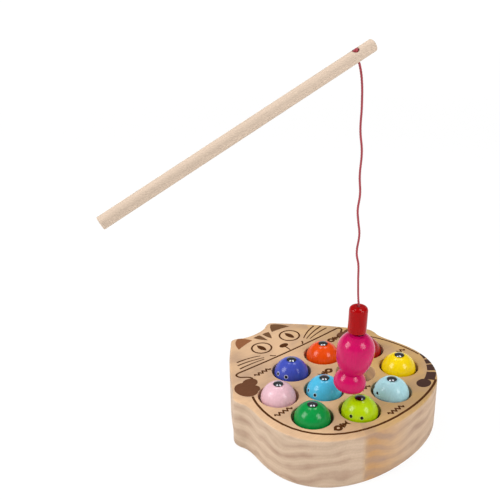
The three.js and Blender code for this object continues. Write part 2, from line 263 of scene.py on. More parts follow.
def add(tree, kind, sockets=(), **settings):
    """Adds one shader node with its settings, and sets or links its inputs, in order or by name or number.

    A node among the inputs stands for the first of its outputs that is in use.
    """
    node = tree.nodes.new(f"ShaderNode{kind}")
    for key, value in settings.items():
        setattr(node, key, value)
    for socket, value in sockets.items() if isinstance(sockets, dict) else enumerate(sockets):
        if isinstance(value, bpy.types.Node):
            value = next(output for output in value.outputs if output.enabled)
        if isinstance(value, bpy.types.NodeSocket):
            tree.links.new(value, node.inputs[socket])
        else:
            entry = node.inputs[socket]
            entry.default_value = (*value, 1.0) if entry.type == "RGBA" else value
    return node


def start_material(name):
    """A new material with nothing in it but the place on the object, which its patterns follow."""
    material = bpy.data.materials.new(name)
    material.use_nodes = True
    tree = material.node_tree
    tree.nodes.clear()
    return material, tree, add(tree, "TexCoord").outputs["Object"]


def end_material(material, sockets):
    """Gives a material its surface and output."""
    surface = add(material.node_tree, "BsdfPrincipled", sockets)
    add(material.node_tree, "OutputMaterial", (surface,))
    return material


def shade(colour, share):
    """A colour made darker or paler by a share."""
    return tuple(min(1.0, channel * share) for channel in colour)


def paler(colour, share):
    """A colour mixed with a share of white."""
    return tuple(channel + (1 - channel) * share for channel in colour)


def per_metre(size):
    """Noise scale whose lumps are about this size."""
    return 1 / size


def grain(tree, place, sizes, detail=3.0, turn=(0.0, 0.0, 0.0)):
    """Noise drawn out into fibres, with their size along each axis in millimetres."""
    scale = [per_metre(size * MM) for size in sizes]
    drawn_out = add(tree, "Mapping", {"Vector": place, "Rotation": turn, "Scale": scale})
    return add(tree, "TexNoise", {"Vector": drawn_out, "Scale": 1.0, "Detail": detail})


def wave_scale(period):
    """Wave scale whose bands are this far apart; the node fits 20 radians into one unit."""
    return 2 * math.pi / (20 * period)


# Materials


def pine(name, block, sides, second_sides):
    """Glued and sanded pine, with the colours of its upright faces.

    Pale wood with soft, wavy growth rings that lie nearly level, so they draw bands round the side and wide,
    faint figures on the top. Two boards meet across the block, the second one yellower. Fine fibres run
    along it.
    """
    material, tree, place = start_material(name)
    # How far across the boards a place is, in metres; past their joint a jump gives the second its own pattern
    across = add(tree, "VectorMath", (place, (0.86, -0.5, 0.0)), operation="DOT_PRODUCT")
    board = add(tree, "Math", (across, -0.0027), operation="GREATER_THAN")
    jump = add(tree, "VectorMath", (board, (0.11, 0.07, 0.0262), place), operation="MULTIPLY_ADD")
    tilted = add(tree, "Mapping", {
        "Vector": jump, "Rotation": (math.radians(5), math.radians(-4), math.radians(-30))})
    # Growth rings waver over about 45 mm, by a few millimetres
    waver = add(tree, "TexNoise", {
        "Vector": tilted, "Scale": per_metre(45 * MM), "Detail": 2.0, "Roughness": 0.45})
    waves = waver.outputs["Color"]
    lift = add(tree, "VectorMath", (waves, (0.0, 0.0, 0.03), tilted), operation="MULTIPLY_ADD")
    # Wide rings with fine lines between them: how far apart in millimetres, how warped and how finely
    rings, lines = [
        add(tree, "TexWave", {
            "Vector": lift, "Scale": wave_scale(period * MM), "Distortion": warp, "Detail": 2.0,
            "Detail Scale": fineness,
        }, wave_type="BANDS", bands_direction="Z", wave_profile="SIN")
        for period, warp, fineness in ((10, 2.4, 1.5), (3.1, 3.0, 2.0))
    ]
    # Some rings stand out and others fade, in patches of about 20 mm
    patch = add(tree, "TexNoise", {
        "Vector": tilted, "Scale": per_metre(20 * MM), "Detail": 2.0, "Roughness": 0.5})
    clear = add(tree, "MapRange", (patch, 0.35, 0.7, 0.25, 0.95))
    band = add(tree, "Math", (rings.outputs["Fac"], clear), operation="MULTIPLY")
    fine = add(tree, "Math", (lines.outputs["Fac"], 0.14), operation="MULTIPLY")
    ringed = add(tree, "Math", (band, fine), operation="ADD")
    # The top was planed nearly along the rings, so it shows them faintly
    facing = add(tree, "SeparateXYZ", (add(tree, "NewGeometry").outputs["Normal"],))
    planed = add(tree, "MapRange", (facing.outputs["Z"], 0.4, 0.95))
    calm = add(tree, "MapRange", (planed, 0.0, 1.0, 1.0, 0.6))
    figure = add(tree, "Math", (ringed, calm), operation="MULTIPLY")
    # Fibres are about 0.5 mm wide and 12 mm long
    fibre = grain(tree, jump, (12, 0.5, 0.9), turn=FIBRE_TURN)
    blotch = add(tree, "TexNoise", {
        "Vector": jump, "Scale": per_metre(30 * MM), "Detail": 3.0, "Roughness": 0.6})
    # The second board is yellowest beside the joint
    near_joint = add(tree, "MapRange", (across, 0.004, 0.036, 1.0, 0.15))
    seam = add(tree, "MapRange", (across, -0.006, 0.001), interpolation_type="SMOOTHSTEP")
    yellow = add(tree, "Math", (seam, near_joint), operation="MULTIPLY")
    boards = add(tree, "Mix", {0: yellow, 6: sides, 7: second_sides}, data_type="RGBA")
    # Across the top the colour runs from the paler wood at the left to the yellower second board at the right:
    # partly the boards' own colours, partly painted light, with the left of the top drawn brighter where the
    # left lamp lights it
    board_and_painted_light = add(tree, "MapRange", (across, -0.04, 0.035), interpolation_type="SMOOTHSTEP")
    tops = add(tree, "Mix", {0: board_and_painted_light, 6: block.planed_wood, 7: block.planed_second}, data_type="RGBA")
    base = add(tree, "Mix", {0: planed, 6: boards, 7: tops}, data_type="RGBA")
    grown = add(tree, "Mix", {0: figure, 6: base, 7: block.late_wood}, data_type="RGBA")
    tone = add(tree, "MapRange", (fibre, 0.0, 1.0, 0.86, 1.12))
    cloud = add(tree, "MapRange", (blotch, 0.0, 1.0, 0.88, 1.12))
    both = add(tree, "Math", (tone, cloud), operation="MULTIPLY")
    wood = add(tree, "VectorMath", {0: grown, "Scale": both}, operation="SCALE")
    rough = add(tree, "MapRange", (fibre, 0.0, 1.0, 0.5, 0.72))
    bump = add(tree, "Bump", {"Height": fibre, "Strength": 0.25, "Distance": 0.08 * MM})
    return end_material(material, {
        "Base Color": wood, "Roughness": rough, "Normal": bump, "Specular IOR Level": 0.35})


def brown_print(name, colour):
    """Brown ink printed on bare wood.

    It sinks into the pores, so it is matt and a little uneven, and the fibres show through as paler flecks.
    """
    material, tree, place = start_material(name)
    fibre = grain(tree, place, (6, 0.6, 1), turn=FIBRE_TURN)
    worn = add(tree, "MapRange", (fibre, 0.45, 0.8, 0.0, 0.35))
    ink = add(tree, "Mix", {0: worn, 6: colour, 7: shade(colour, 1.8)}, data_type="RGBA")
    bump = add(tree, "Bump", {"Height": fibre, "Strength": 0.2, "Distance": 0.05 * MM})
    return end_material(material, {
        "Base Color": ink, "Roughness": 0.75, "Normal": bump, "Specular IOR Level": 0.12})


def lacquered_beech(name, colour):
    """Turned beech under gloss lacquer.

    A clear hard shine with soft lamp reflections; the colour is a little deeper along the grain, and the film
    has a faint ripple left by the dipping.
    """
    material, tree, place = start_material(name)
    fibre = grain(tree, place, (1.2, 1.2, 9))
    ripple = add(tree, "TexNoise", {"Vector": place, "Scale": per_metre(1.6 * MM), "Detail": 1.0})
    depth = add(tree, "MapRange", (fibre, 0.3, 0.7))
    tint = add(tree, "Mix", {0: depth, 6: shade(colour, 0.94), 7: shade(colour, 1.05)}, data_type="RGBA")
    rough = add(tree, "MapRange", (ripple, 0.0, 1.0, 0.17, 0.22))
    bump = add(tree, "Bump", {"Height": ripple, "Strength": 0.05, "Distance": 0.04 * MM})
    return end_material(material, {
        "Base Color": tint, "Roughness": rough, "Normal": bump, "Specular IOR Level": 0.26})


def bare_metal(name, code, smooth, scuffed):
    """Polished metal with fine scuffs from use, which blur its reflections here and there."""
    material, tree, place = start_material(name)
    scuff = add(tree, "TexNoise", {"Vector": place, "Scale": per_metre(0.5 * MM), "Detail": 4.0})
    rough = add(tree, "MapRange", (scuff, 0.0, 1.0, smooth, scuffed))
    colour = linear(code)
    tone = add(tree, "Mix", {0: scuff, 6: shade(colour, 0.88), 7: shade(colour, 1.06)}, data_type="RGBA")
    return end_material(material, {"Base Color": tone, "Metallic": 1.0, "Roughness": rough})


def red_capsule(colour):
    """Moulded red plastic with a high gloss: deep colour, clear reflections, the faintest moulding ripple."""
    material, tree, place = start_material("moulded_red_plastic")
    ripple = add(tree, "TexNoise", {"Vector": place, "Scale": per_metre(3 * MM), "Detail": 2.0})
    tint = add(tree, "Mix", {0: ripple, 6: shade(colour, 0.92), 7: shade(colour, 1.08)}, data_type="RGBA")
    rough = add(tree, "MapRange", (ripple, 0.0, 1.0, 0.1, 0.16))
    bump = add(tree, "Bump", {"Height": ripple, "Strength": 0.1, "Distance": 0.05 * MM})
    return end_material(material, {
        "Base Color": tint, "Roughness": rough, "Normal": bump, "Specular IOR Level": 0.14})


def twisted_cord(colour):
    """Twisted polyester cord: matt, with fine filaments along the strands and a soft sheen at its edges."""
    material, tree, place = start_material("twisted_polyester")
    # Filaments are finer than the render shows, so they are drawn about 0.2 mm wide
    fibre = grain(tree, place, (0.2, 0.2, 1.2))
    tint = add(tree, "Mix", {0: fibre, 6: shade(colour, 0.75), 7: shade(colour, 1.25)}, data_type="RGBA")
    bump = add(tree, "Bump", {"Height": fibre, "Strength": 0.4, "Distance": 0.1 * MM})
    return end_material(material, {
        "Base Color": tint, "Roughness": 0.82, "Normal": bump, "Sheen Weight": 0.25})


def rod_dowel(colour, turn):
    """Bare sanded dowel: pale straight grain with short darker pores along the rod."""
    material, tree, place = start_material("sanded_dowel")
    straight = add(tree, "Mapping", {"Vector": place, "Rotation": turn}, vector_type="POINT")
    fibre = grain(tree, straight, (30, 0.8, 0.8), 4.0)
    pore = grain(tree, straight, (7, 0.45, 0.45), 1.0)
    dark = add(tree, "MapRange", (pore, 0.62, 0.75, 0.0, 0.2))
    streak = add(tree, "MapRange", (fibre, 0.3, 0.7))
    tint = add(tree, "Mix", {0: streak, 6: shade(colour, 0.96), 7: shade(colour, 1.04)}, data_type="RGBA")
    wood = add(tree, "Mix", {0: dark, 6: tint, 7: shade(colour, 0.62)}, data_type="RGBA")
    bump = add(tree, "Bump", {"Height": fibre, "Strength": 0.15, "Distance": 0.06 * MM})
    return end_material(material, {
        "Base Color": wood, "Roughness": 0.66, "Normal": bump, "Specular IOR Level": 0.3})


def eye_paint(name, colour):
    """Printed eye paint: a thin satin film with a slightly uneven edge to its shine."""
    material, tree, place = start_material(name)
    film = add(tree, "TexNoise", {"Vector": place, "Scale": per_metre(0.8 * MM), "Detail": 2.0})
    uneven = add(tree, "Mix", {0: film, 6: shade(colour, 0.92), 7: colour}, data_type="RGBA")
    rough = add(tree, "MapRange", (film, 0.0, 1.0, 0.25, 0.4))
    return end_material(material, {"Base Color": uneven, "Roughness": rough, "Specular IOR Level": 0.2})


# Shapes


def turns(count):
    """Angles evenly round a circle."""
    return [2 * math.pi * index / count for index in range(count)]


def bend(start, corner, end, steps=CURVE_STEPS):
    """Points of a curve from start to end that leans towards the corner."""
    start, corner, end = Vector(start), Vector(corner), Vector(end)
    return interpolate_bezier(start, start.lerp(corner, 2 / 3), end.lerp(corner, 2 / 3), end, steps)


def sweep(start, first, second, end, steps=CURVE_STEPS):
    """Points of a curve between two places with a handle for each."""
    return interpolate_bezier(Vector(start), Vector(first), Vector(second), Vector(end), steps)


def chain(*runs, near=5e-6):
    """Several runs of points as one, each shared point once."""
    points = []
    for run in runs:
        for point in run:
            point = Vector(point)
            if not points or (point - points[-1]).length > near:
                points.append(point)
    return points


def route(start, *curves):
    """Points along curves end to end: each is its steps, a corner or two handles, and its end."""
    runs = []
    for steps, *handles, end in curves:
        draw = bend if len(handles) == 1 else sweep
        runs.append(draw(start, *handles, end, steps))
        start = end
    return chain(*runs)


def turned(profile, steps, closed=False):
    """A turned shape: the profile's radius and height points spun about Z."""
    made = bmesh.new()
    corners = [made.verts.new((point[0], 0.0, point[1])) for point in profile]
    edges = [made.edges.new(pair) for pair in zip(corners, corners[1:])]
    if closed:
        edges.append(made.edges.new((corners[-1], corners[0])))
    bmesh.ops.spin(made, geom=corners + edges, cent=(0, 0, 0), axis=(0, 0, 1), angle=2 * math.pi, steps=steps,
                   use_merge=True)
    close(made)
    return made


def close(made):
    """Merges doubled vertices and turns every face outwards."""
    bmesh.ops.remove_doubles(made, verts=made.verts, dist=DOUBLED)
    bmesh.ops.dissolve_degenerate(made, edges=made.edges, dist=DOUBLED / 10)
    bmesh.ops.recalc_face_normals(made, faces=made.faces)


def slab(shapes, low, high):
    """Flat shapes, side by side, between two heights."""
    made = bmesh.new()
    for points in shapes:
        made.faces.new([made.verts.new((point[0], point[1], low)) for point in points])
    bmesh.ops.remove_doubles(made, verts=made.verts, dist=DOUBLED)
    raised = bmesh.ops.extrude_face_region(made, geom=made.faces[:])
    lifted = [item for item in raised["geom"] if isinstance(item, bmesh.types.BMVert)]
    bmesh.ops.translate(made, verts=lifted, vec=(0, 0, high - low))
    bmesh.ops.recalc_face_normals(made, faces=made.faces)
    return made


def rounded_slab(points, low, high, edge, steps=6):
    """A flat shape between two heights with rounded rims: rings drawn in from the outline, one on another."""
    around = list(zip(points[-1:] + points[:-1], points, points[1:] + points[:1]))
    outward = [Vector((after.y - before.y, before.x - after.x)).normalized() for before, _, after in around]
    quarter = [math.pi / 2 * index / steps for index in range(steps + 1)]
    levels = [(low + edge * (1 - math.sin(turn)), edge * (1 - math.cos(turn))) for turn in reversed(quarter)]
    levels += [(high - edge * (1 - math.sin(turn)), edge * (1 - math.cos(turn))) for turn in quarter]
    made = bmesh.new()
    rings = []
    for height, inset in levels:
        rim = [point - way * inset for point, way in zip(points, outward)]
        rings.append([made.verts.new((place.x, place.y, height)) for place in rim])
    for lower, upper in zip(rings, rings[1:]):
        for first, second, third, fourth in zip(lower, lower[1:] + lower[:1], upper[1:] + upper[:1], upper):
            made.faces.new((first, second, third, fourth))
    made.faces.new(rings[0])
    made.faces.new(rings[-1])
    bmesh.ops.recalc_face_normals(made, faces=made.faces)
    return made


def joined(target, added):
    """Puts one bmesh into another."""
    holder = bpy.data.meshes.new("holder")
    added.to_mesh(holder)
    added.free()
    target.from_mesh(holder)
    bpy.data.meshes.remove(holder)


def put(name, data):
    """A new object in the scene."""
    thing = bpy.data.objects.new(name, data)
    bpy.context.scene.collection.objects.link(thing)
    return thing


def show(name, made, materials, body, nodes=(), place=Matrix()):
    """Makes the finished piece: smooth but for its sharp edges and level faces, riding on its body."""
    bmesh.ops.transform(made, matrix=place, verts=made.verts)
    for face in made.faces:
        face.smooth = True
    for edge in made.edges:
        level = any(abs(face.normal.z) > LEVEL_NORMAL for face in edge.link_faces)
        edge.smooth = edge.calc_face_angle(0.0) < SHARP_ANGLE and not level
    mesh = bpy.data.meshes.new(name)
    made.to_mesh(mesh)
    made.free()
    for material in materials:
        mesh.materials.append(material)
    piece = put(name, mesh)
    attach(piece, body)
    if nodes:
        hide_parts(*nodes)
    return piece


def cut(made, tool):
    """The first shape with the second one cut out of it."""
    objects = []
    for part in (made, tool):
        mesh = bpy.data.meshes.new("cutting")
        part.to_mesh(mesh)
        part.free()
        objects.append(put("cutting", mesh))
    modifier = objects[0].modifiers.new("cut", "BOOLEAN")
    modifier.operation = "DIFFERENCE"
    modifier.solver = "EXACT"
    modifier.object = objects[1]
    view = bpy.context.evaluated_depsgraph_get()
    result = bpy.data.meshes.new_from_object(objects[0].evaluated_get(view))
    done = bmesh.new()
    done.from_mesh(result)
    bpy.data.meshes.remove(result)
    for spare in objects:
        mesh = spare.data
        bpy.data.objects.remove(spare)
        bpy.data.meshes.remove(mesh)
    return done


def tube(points, radius, sides=3, ring=False, widths=None):
    """A round strand along points."""
    data = bpy.data.curves.new("strand", "CURVE")
    data.dimensions = "3D"
    data.bevel_depth = radius
    data.bevel_resolution = sides
    data.use_fill_caps = not ring
    line = data.splines.new("POLY")
    line.points.add(len(points) - 1)
    for index, point in enumerate(points):
        line.points[index].co = (point[0], point[1], point[2] if len(point) > 2 else 0.0, 1.0)
        line.points[index].radius = widths[index] if widths else 1.0
    line.use_cyclic_u = ring
    holder = bpy.data.objects.new("strand", data)
    mesh = bpy.data.meshes.new_from_object(holder)
    made = bmesh.new()
    made.from_mesh(mesh)
    bpy.data.objects.remove(holder)
    bpy.data.curves.remove(data)
    bpy.data.meshes.remove(mesh)
    close(made)
    return made


def rod_place(tackle):
    """The rod's own axes: its hole at the origin, its tip towards X."""
    lead = tackle.rod_diameter / 2 + CORD_LEAD
    return TACKLE_PLACE @ Matrix.Translation(CORD_TOP - HOLE_DOWN * (lead + FIT)) @ ROD_AXES


def fish_place(colour, fish):
    """Where a fish stands on its tail: in its pocket, or on the magnet."""
    if colour != CAUGHT:
        low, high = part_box(f"fish_{colour}_body")
        return Matrix.Translation(((low.x + high.x) / 2, (low.y + high.y) / 2, low.z))
    top = fish.length + FIT + fish.steel_height
    hung = LURE_PLACE @ Matrix.Translation((CATCH_OFFSET, 0.0, -FIT)) @ CATCH_LEAN
    return hung @ Matrix.Translation((0.0, 0.0, -top))


def fish_skin(fish):
    """The turned side of a fish from the tail's flat up to the nose's flat."""
    foot, tail, waist = fish.tail_flat / 2, fish.tail_diameter / 2, fish.waist_diameter / 2
    body, nose = fish.body_diameter / 2, fish.nose_flat / 2
    ball, crease, widest, top = fish.tail_height, fish.waist_height, fish.body_height, fish.length
    dip, rise, crown = crease - ball, widest - crease, top - widest
    return route(
        (foot, 0),
        (CURVE_STEPS, (foot + (tail - foot) * TAIL_FOOT_HANDLE, 0), (tail, ball * (1 - TAIL_SIDE_HANDLE)),
         (tail, ball)),
        (CURVE_STEPS, (tail, ball + dip * TAIL_TOP_HANDLE),
         (waist + (tail - waist) * CREASE_OUT, crease - dip * CREASE_DOWN), (waist, crease)),
        (CURVE_STEPS, (waist + (body - waist) * CREASE_OUT, crease + rise * CREASE_UP),
         (body, widest - rise * BODY_LOWER_HANDLE), (body, widest)),
        (CURVE_STEPS, (body, widest + crown * CROWN_HANDLE),
         (nose + (body - nose) * CROWN_SHOULDER, top - crown * CROWN_DROP), (nose, top)),
    )


def front_edge(steps=CURVE_STEPS):
    """The block's rounded front from its middle to its widest place on the right, in millimetres."""
    half = HALF_WIDTH
    return sweep((0, FRONT), (half * 0.6, FRONT), (half, FRONT * 0.66), (half, FRONT * 0.1), steps)


def cat_outline():
    """The block's outline from above, from the middle of the front round to the right."""
    half, front = HALF_WIDTH, FRONT
    neck, neck_y = 73.81, 23.0
    cheek, cheek_y = 75.81, 34.0
    temple, brow = (68.81, 45.0), (49.96, 73.8)
    ear_outer, ear_tip, ear_inner = (26.3, 97.8), (20.0, 102.7), (13.0, 99.55)
    forehead = 97.1
    right = chain(
        front_edge(2 * CURVE_STEPS),
        sweep((half, front * 0.1), (half, neck_y * 0.3), (neck, neck_y * 0.6), (neck, neck_y)),
        sweep((neck, neck_y), (neck, 27.4), (cheek, 28.5), (cheek, cheek_y)),
        bend((cheek, cheek_y), (cheek, 38.4), temple),
        bend(temple, brow, ear_outer),
        bend(ear_outer, (22.8, ear_tip[1]), ear_tip),
        bend(ear_tip, (17.2, ear_tip[1]), ear_inner),
        bend(ear_inner, (7.8, forehead), (0, forehead)), near=0.01,
    )
    left = [Vector((-point.x, point.y)) for point in reversed(right[1:-1])]
    return [point * MM for point in right + left]


# Print, in millimetres from the block's centre, drawn from plain curves


def ring_points(centre, wide, tall, count=44):
    """Points round an oval."""
    return [(centre[0] + wide / 2 * math.cos(t), centre[1] + tall / 2 * math.sin(t)) for t in turns(count)]


def leaf_points(bottom, top, width):
    """A pointed oval between two places."""
    bottom, top = Vector(bottom), Vector(top)
    side = (top - bottom).orthogonal().normalized() * width
    middle = (bottom + top) / 2
    return chain(bend(bottom, middle + side, top), bend(top, middle - side, bottom))[:-1]


def wriggle_points(centre, length, height, teeth=4):
    """A hand-drawn zigzag."""
    count = teeth * 8
    shares = [index / count for index in range(count + 1)]
    waves = [math.asin(math.sin(2 * math.pi * teeth * share)) / math.pi for share in shares]
    return [(centre[0] + length * (x - 0.5), centre[1] + height * y) for x, y in zip(shares, waves)]


class Print:
    """Collects flat ink shapes and strokes on the block's top."""

    def __init__(self, top, edge_round):
        self.top = top
        self.edge_round = edge_round
        self.made = bmesh.new()
        self.layer = 0

    def height(self):
        """Each shape lies a hair over the last, so that none flickers."""
        self.layer += 1
        return self.top + INK_HEIGHT + self.layer * INK_LAYER

    def fill(self, *shapes):
        """A filled shape, or several that meet and make one."""
        places = [[Vector(point) * MM for point in points] for points in shapes]
        joined(self.made, slab(places, self.top - INK_SINK, self.height()))

    def wrap(self):
        """Lays what reaches over the block's rounded front edge down onto it."""
        edge = self.edge_round
        outline = [point * MM for point in front_edge(400)]
        for corner in self.made.verts:
            inside = min((corner.co.xy - point).length for point in outline)
            over = min(max(edge - inside, 0.0), edge)
            corner.co.z -= edge - math.sqrt(edge ** 2 - over ** 2)

    def stroke(self, points, width, ring=False, tip=1.0):
        """A line of ink, which may thin out towards its end."""
        last = max(1, len(points) - 1)
        widths = [1 + (tip - 1) * index / last for index in range(len(points))]
        made = tube([Vector(point) * MM for point in points], width * MM / 2, 2, ring, widths)
        deep = self.height() - self.top
        bmesh.ops.scale(made, vec=(1, 1, 2 * deep / (width * MM)), verts=made.verts)
        bmesh.ops.translate(made, vec=(0, 0, self.top), verts=made.verts)
        joined(self.made, made)

    def fish_bone(self, x, y, way=1):
        """A small fish skeleton: dark head with a pale eye, ribs and a tail fin."""
        def at(along, up):
            return (x + way * along, y + up)

        self.stroke(ring_points(at(-3.0, 0.0), 4.4, 4.2, 24), 2.1, True)
        self.fill([at(-7.2, 0.2), at(-4.4, 2.9), at(-4.6, 0.0), at(-4.4, -2.7)])
        self.stroke([at(-1.2, 0.0), at(5.0, 0.0)], 1.9)
        self.stroke([at(1.2, -2.6), at(0.7, 0.0), at(1.2, 2.6)], 1.8)
        self.stroke([at(3.1, -1.8), at(2.7, 0.0), at(3.1, 1.8)], 1.7)
        self.fill([at(4.0, 0.0), at(7.0, -3.2), at(6.4, 0.0), at(7.0, 3.2)])


def draw_face(lines):
    """The cat's eyes, nose, mouth and whiskers."""
    for x, y, wide, tall in ((-11.7, 75.9, 16.6, 15.6), (18.8, 74.9, 16.9, 16.4)):
        lines.stroke(ring_points((x, y), wide, tall), 1.5, True)
        lines.fill(leaf_points((x + 0.3, y - 5.6), (x - 0.2, y + 5.6), 4.9))
    lines.fill(ring_points((4.3, 66.5), 8.4, 5.4))
    lines.stroke([(4.1, 65.0), (3.5, 58.2)], 1.2)
    lines.stroke(bend((-14.4, 62.8), (-13.6, 60.4), (-11.0, 59.4), 8), 1.6, tip=0.7)
    lines.stroke(bend((19.8, 61.4), (19.2, 58.8), (16.9, 57.8), 8), 1.5, tip=0.7)
    for start, corner, end in (
        ((-41.0, 72.8), (-30.0, 72.0), (-20.6, 67.6)), ((-43.4, 68.8), (-32.0, 68.2), (-20.2, 63.6)),
        ((-45.2, 64.1), (-34.0, 64.2), (-21.6, 61.8)), ((45.4, 72.4), (34.0, 70.0), (24.4, 63.6)),
        ((49.4, 68.0), (37.0, 66.4), (25.6, 61.4)), ((50.8, 62.6), (39.0, 62.4), (27.6, 59.4)),
    ):
        lines.stroke(bend(start, corner, end, 10), 1.5, tip=0.6)


def draw_body(lines):
    """The chin line with its curled ends, the line round the body, and the marks between the pockets."""
    lines.stroke(route(
        (-47.2, 46.6),
        (10, (-45.2, 51.6), (-53.0, 52.8), (-53.5, 57.0)),
        (8, (-53.7, 59.6), (-52.2, 60.4), (-49.0, 60.3)),
        (10, (-20.0, 57.6), (16.0, 55.6), (55.4, 55.9)),
        (8, (57.8, 55.9), (59.2, 54.4), (58.4, 52.4)),
        (8, (57.6, 50.6), (54.0, 50.2), (52.4, 46.8)),
    ), 1.65)
    lines.stroke(route(
        (-62.6, 29.4),
        (CURVE_STEPS, (-67.2, 21.0), (-70.0, 9.0), (-70.0, -2.0)),
        (CURVE_STEPS, (-70.0, -39.0), (-38.0, -59.0), (6.0, -58.2)),
        (CURVE_STEPS, (24.0, -57.9), (41.0, -54.6), (53.6, -48.4)),
    ), 1.85)
    lines.stroke(sweep((66.0, 28.0), (72.2, 16.0), (75.2, -2.0), (73.4, -17.0)), 1.5)
    for centre in ((-35.2, 48.8), (-59.0, 0.3), (1.2, -52.6), (63.0, -4.2), (3.0, -19.4)):
        lines.stroke(wriggle_points(centre, 15.5, 3.4), 1.4)
    for x, y, way in ((-41.4, -39.2, 1), (0.4, 15.2, -1), (41.4, 45.6, 1)):
        lines.fish_bone(x, y, way)


def draw_paws(paws):
    """The two paws, each of three rounds."""
    for side in (-1, 1):
        for x, y, wide, tall in ((60.2, 39.3, 16.5, 19.6), (52.2, 44.2, 12.6, 10.6), (55.2, 36.2, 9.4, 9.0)):
            paws.fill(ring_points((side * x, y), wide, tall))


def draw_tail(tail):
    """The striped tail along the block's edge, and its tip."""
    edge = front_edge(201)
    # Places on the edge where each stripe starts and ends, its distance from the edge and its reach inwards
    for first, last, near, far, thin, wide in (
        (177, 161, 0.3, 0.3, 2.3, 3.6), (158, 144, 0.3, 0.3, 4.1, 5.2), (141, 122, 0.3, 0.3, 5.6, 7.0),
        (117, 93, 0.5, 2.2, 7.7, 9.8),
    ):
        # Narrow strips follow the sanded round, and a wide one covers the level top
        rows = []
        for index in range(first, last - 1, -1):
            share = (first - index) / (first - last)
            inward = (edge[index + 1] - edge[index - 1]).orthogonal().normalized()
            start, end = near + (far - near) * share, thin + (wide - thin) * share
            depths = (0.0, 0.35, 0.7, tail.edge_round / MM, end)
            rows.append([edge[index] + inward * max(start, depth) for depth in depths])
        tail.fill(*[
            corners for row, after in zip(rows, rows[1:]) for corners in zip(row, row[1:], after[1:], after)])
    tail.fill(ring_points((43.0, -45.2), 12.4, 10.0))
    tail.wrap()


def draw_ear(ears, outer, swell, tip, turn, inner, dip):
    """Fills the inside of an ear: three curves, each given by its start and the corner that it leans to."""
    ears.fill(route(outer, (10, swell, tip), (8, turn, inner), (8, dip, outer))[:-1])


def draw_left_ear(ear):
    """The inside of the left ear."""
    draw_ear(ear, (-27.0, 86.6), (-24.6, 97.4), (-16.6, 100.4), (-12.4, 98.6), (-9.4, 90.2), (-17.0, 89.6))


def draw_right_ear(ear):
    """The inside of the right ear."""
    draw_ear(ear, (29.4, 86.0), (26.6, 95.8), (20.0, 99.4), (16.0, 97.2), (12.0, 89.2), (20.0, 89.2))


def draw_brow(brow):
    """The two stripes between the ears."""
    for first, top, second, inside, tip, outside in (
        ((-6.2, 92.4), (-3.0, 93.0), (0.5, 92.4), (1.3, 87.0), (0.2, 81.6), (-4.0, 86.4)),
        ((10.0, 91.2), (7.0, 92.4), (3.6, 92.0), (3.0, 86.0), (4.8, 81.6), (8.0, 85.4)),
    ):
        brow.fill(route(first, (6, top, second), (8, inside, tip), (8, outside, first))[:-1])


# Operators


